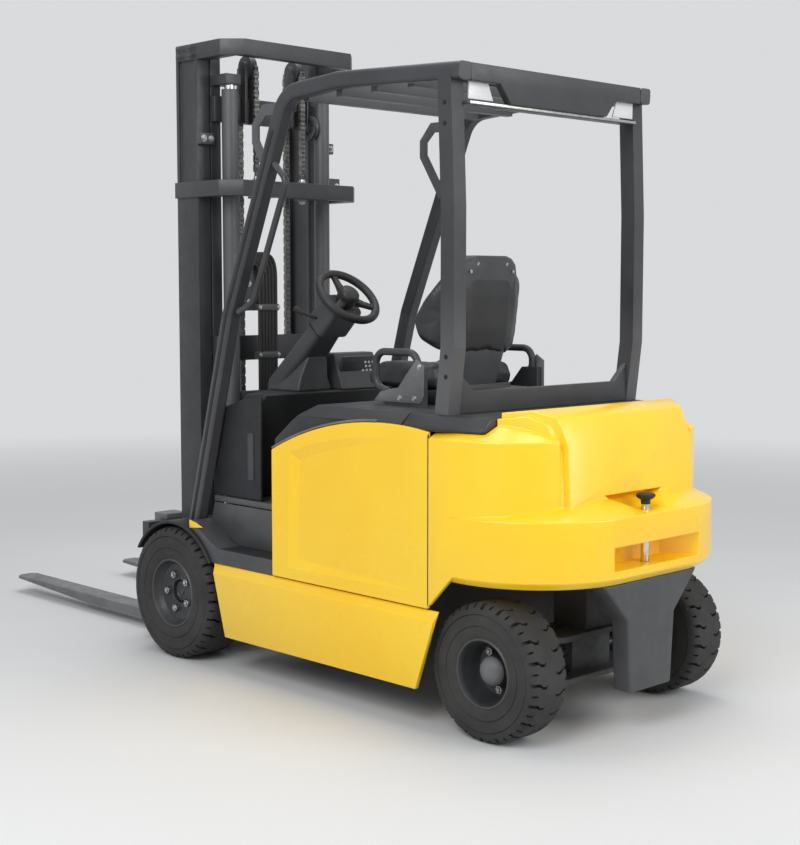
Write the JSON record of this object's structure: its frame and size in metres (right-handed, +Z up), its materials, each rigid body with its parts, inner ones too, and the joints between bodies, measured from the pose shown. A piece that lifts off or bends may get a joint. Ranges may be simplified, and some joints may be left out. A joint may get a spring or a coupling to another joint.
{
  "type": "electric counterbalance forklift",
  "caption": "Four-wheel electric counterbalance forklift with two-stage mast, fork carriage, tilt cylinders, overhead guard, driver's seat on the battery hood and a cast counterweight.",
  "frame": {"origin": "middle of the bounding box on the ground", "axes": "+X forward to the fork tips, +Y to the driver's left, +Z up"},
  "size_m": [3.48, 1.1336, 2.4],
  "materials": {
    "tyre_rubber": "matt black solid rubber",
    "rim_paint": "satin dark grey paint",
    "axle_iron": "matt black paint on castings",
    "chrome_rod": "ground chrome plate",
    "mast_paint": "satin charcoal paint",
    "chain_steel": "oiled steel",
    "fork_steel": "worn grey paint",
    "dark_paint": "satin charcoal paint",
    "yellow_paint": "glossy warm yellow paint",
    "yellow_casting": "glossy warm yellow paint on a casting",
    "black_plastic": "fine-grained moulding",
    "seat_vinyl": "black vinyl"
  },
  "bodies": {
    "chassis": {"chassis_frame": "dark_paint", "battery": "black_plastic", "left_skirt": "yellow_paint", "right_skirt": "yellow_paint", "left_side_panel": "yellow_paint", "right_side_panel": "yellow_paint", "counterweight": "yellow_casting", "apron": "dark_paint", "tow_pin": "chrome_rod", "floor_plate": "dark_paint", "seat_box_front": "dark_paint", "fenders": "black_plastic", "cowl": "black_plastic", "steering_column": "black_plastic", "side_console": "black_plastic", "rear_cover": "black_plastic", "left_guard_frame": "dark_paint", "right_guard_frame": "dark_paint", "guard_header": "dark_paint", "guard_slats": "dark_paint", "guard_beam": "dark_paint", "lamp_brackets": "dark_paint", "grab_handle": "dark_paint", "drive_axle": "axle_iron", "steer_axle": "axle_iron"},
    "front_left_wheel": {"front_left_tyre": "tyre_rubber", "front_left_rim": "rim_paint"},
    "front_right_wheel": {"front_right_tyre": "tyre_rubber", "front_right_rim": "rim_paint"},
    "rear_left_wheel": {"rear_left_tyre": "tyre_rubber", "rear_left_rim": "rim_paint"},
    "rear_right_wheel": {"rear_right_tyre": "tyre_rubber", "rear_right_rim": "rim_paint"},
    "left_knuckle": {"left_knuckle": "axle_iron"},
    "right_knuckle": {"right_knuckle": "axle_iron"},
    "steer_rod": {"steer_rod": "chrome_rod"},
    "mast": {"outer_mast": "mast_paint", "lift_barrels": "mast_paint", "rear_chains": "chain_steel"},
    "inner_mast": {"inner_mast": "mast_paint", "lift_rods": "chrome_rod", "front_chains": "chain_steel"},
    "carriage": {"carriage": "mast_paint", "left_fork": "fork_steel", "right_fork": "fork_steel"},
    "left_tilt_barrel": {"left_tilt_barrel": "mast_paint"},
    "right_tilt_barrel": {"right_tilt_barrel": "mast_paint"},
    "left_tilt_rod": {"left_tilt_rod": "chrome_rod"},
    "right_tilt_rod": {"right_tilt_rod": "chrome_rod"},
    "steering_wheel": {"steering_wheel": "black_plastic"},
    "hood": {"battery_hood": "black_plastic", "seat_shell": "black_plastic", "seat_cushion": "seat_vinyl", "seat_back": "seat_vinyl", "hip_restraints": "dark_paint"}
  },
  "joints": [
    {"name": "front_left_spin", "type": "hinge", "parent": "chassis", "child": "front_left_wheel", "pos_m": [0.165, 0.467, 0.257], "axis": [0, 1, 0], "continuous": true},
    {"name": "front_right_spin", "type": "hinge", "parent": "chassis", "child": "front_right_wheel", "pos_m": [0.165, -0.467, 0.257], "axis": [0, 1, 0], "continuous": true},
    {"name": "steer_left", "type": "hinge", "parent": "chassis", "child": "left_knuckle", "pos_m": [-1.43, 0.302, 0.225], "axis": [0, 0, 1], "range_deg": [-60, 60]},
    {"name": "rear_left_spin", "type": "hinge", "parent": "left_knuckle", "child": "rear_left_wheel", "pos_m": [-1.43, 0.427, 0.225], "axis": [0, 1, 0], "continuous": true},
    {"name": "steer_right", "type": "hinge", "parent": "chassis", "child": "right_knuckle", "pos_m": [-1.43, -0.302, 0.225], "axis": [0, 0, 1], "range_deg": [-60, 60]},
    {"name": "rear_right_spin", "type": "hinge", "parent": "right_knuckle", "child": "rear_right_wheel", "pos_m": [-1.43, -0.427, 0.225], "axis": [0, 1, 0], "continuous": true},
    {"name": "steer_rod_slide", "type": "slide", "parent": "chassis", "child": "steer_rod", "axis": [0, 1, 0], "range_m": [-0.076, 0.076]},
    {"name": "steering_wheel_turn", "type": "hinge", "parent": "chassis", "child": "steering_wheel", "pos_m": [-0.388, 0.13, 1.409], "axis": [-0.7132, 0, 0.7009], "continuous": true},
    {"name": "mast_tilt", "type": "hinge", "parent": "chassis", "child": "mast", "pos_m": [0.165, 0, 0.257], "axis": [0, 1, 0], "range_deg": [-8, 6]},
    {"name": "mast_lift", "type": "slide", "parent": "mast", "child": "inner_mast", "axis": [0, 0, 1], "range_m": [0, 1.85], "deforming": ["rear_chains"]},
    {"name": "carriage_lift", "type": "slide", "parent": "inner_mast", "child": "carriage", "axis": [0, 0, 1], "range_m": [0, 1.85], "deforming": ["front_chains"]},
    {"name": "left_tilt_barrel_swing", "type": "hinge", "parent": "chassis", "child": "left_tilt_barrel", "pos_m": [-0.305, 0.304, 0.34], "axis": [0, 1, 0], "range_deg": [-1.5, 1.2]},
    {"name": "left_tilt_rod_slide", "type": "slide", "parent": "left_tilt_barrel", "child": "left_tilt_rod", "axis": [0.963, 0, 0.2696], "range_m": [-0.03, 0.023]},
    {"name": "right_tilt_barrel_swing", "type": "hinge", "parent": "chassis", "child": "right_tilt_barrel", "pos_m": [-0.305, -0.304, 0.34], "axis": [0, 1, 0], "range_deg": [-1.5, 1.2]},
    {"name": "right_tilt_rod_slide", "type": "slide", "parent": "right_tilt_barrel", "child": "right_tilt_rod", "axis": [0.963, 0, 0.2696], "range_m": [-0.03, 0.023]},
    {"name": "hood_hinge", "type": "hinge", "parent": "chassis", "child": "hood", "pos_m": [-1.105, 0, 1.036], "axis": [0, -1, 0], "range_deg": [0, 50]}
  ],
  "couplings": [
    {"joint": "steer_right", "follows": "steer_left", "ratio": 1},
    {"joint": "steer_rod_slide", "follows": "steer_left", "m_per_rad": -0.0716},
    {"joint": "carriage_lift", "follows": "mast_lift", "ratio": 1},
    {"joint": "left_tilt_barrel_swing", "follows": "mast_tilt", "ratio": 0.167},
    {"joint": "left_tilt_rod_slide", "follows": "mast_tilt", "m_per_rad": 0.2063},
    {"joint": "right_tilt_barrel_swing", "follows": "mast_tilt", "ratio": 0.167},
    {"joint": "right_tilt_rod_slide", "follows": "mast_tilt", "m_per_rad": 0.2063}
  ]
}
